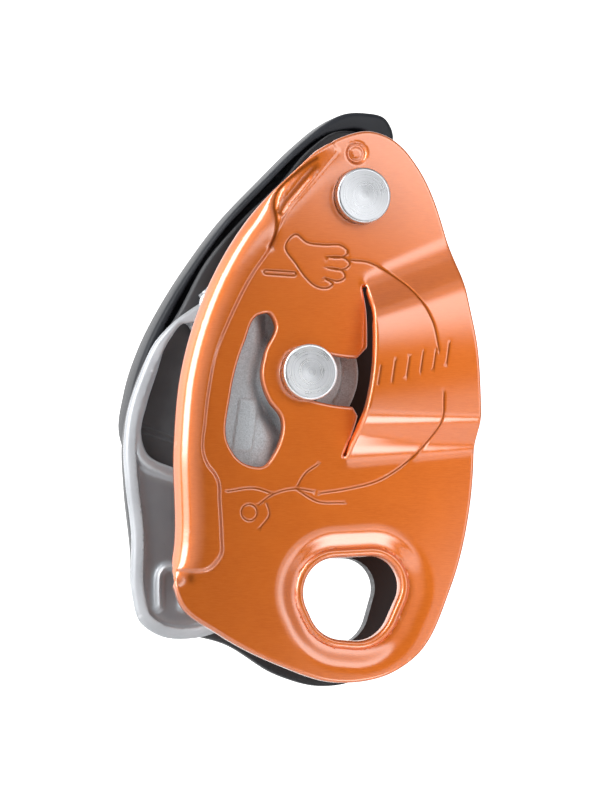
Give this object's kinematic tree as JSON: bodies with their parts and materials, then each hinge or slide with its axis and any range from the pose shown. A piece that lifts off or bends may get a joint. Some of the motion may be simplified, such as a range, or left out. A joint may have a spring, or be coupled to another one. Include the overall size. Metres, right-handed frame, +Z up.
{
  "type": "rope descender",
  "caption": "Hand-held assisted-braking rope device: a swinging side plate, an eccentric cam that pinches the rope, and a folding release handle.",
  "frame": {"origin": "centre of the attachment hole, midway between the inner faces of the two side plates", "axes": "+X to the right and +Z up as the front plate is seen, towards the side plate's axle; +Y from the front plate to the handle, along every joint axis"},
  "size_m": [0.063, 0.0334, 0.1077],
  "materials": {
    "orange_anodised": "anodised orange, fine brushed grain, glossy",
    "dark_anodised": "anodised dark grey, satin",
    "satin_steel": "satin stainless",
    "cast_steel": "grey cast steel, fine grain",
    "turned_steel": "turned faces with concentric rings",
    "bronze": "plain bearing bronze",
    "spring_steel": "bright spring wire",
    "black_nylon": "blue-black moulded nylon"
  },
  "bodies": {
    "frame": {"fixed_side_plate": "dark_anodised", "friction_plate": "satin_steel", "side_plate_axle": "turned_steel", "cam_axle": "turned_steel", "axle_spring_washer": "spring_steel", "axle_spacer_sleeve": "satin_steel", "handle_retaining_washer": "satin_steel", "handle_thrust_washer": "bronze", "rope_guide_disc": "dark_anodised", "friction_plate_rivet_1": "turned_steel", "friction_plate_rivet_2": "turned_steel", "friction_plate_rivet_3": "turned_steel", "cam_spring_pin": "satin_steel", "handle_spring_pin": "satin_steel"},
    "side_plate": {"moving_side_plate": "orange_anodised", "side_plate_bush": "bronze"},
    "cam": {"cam": "cast_steel", "cam_bush": "bronze", "cam_release_pin": "turned_steel", "cam_return_spring": "spring_steel"},
    "handle": {"handle_hub": "satin_steel", "handle_arm": "satin_steel", "handle_grip": "black_nylon", "handle_rivet_1": "turned_steel", "handle_rivet_2": "turned_steel", "handle_return_spring": "spring_steel"}
  },
  "joints": [
    {"name": "side_plate_swing", "type": "hinge", "parent": "frame", "child": "side_plate", "pos_m": [0.0016, 0, 0.0732], "axis": [0, 1, 0], "range_deg": [0, 120]},
    {"name": "cam_pivot", "type": "hinge", "parent": "frame", "child": "cam", "pos_m": [-0.0086, 0, 0.0407], "axis": [0, 1, 0], "range_deg": [0, 22], "stiffness_Nm_per_rad": 0.02, "springref_deg": -34.38, "deforming": ["cam_return_spring"]},
    {"name": "handle_swing", "type": "hinge", "parent": "frame", "child": "handle", "pos_m": [-0.0086, 0, 0.0407], "axis": [0, 1, 0], "range_deg": [-95, 0], "stiffness_Nm_per_rad": 0.01, "springref_deg": 57.3, "deforming": ["handle_return_spring"]}
  ]
}
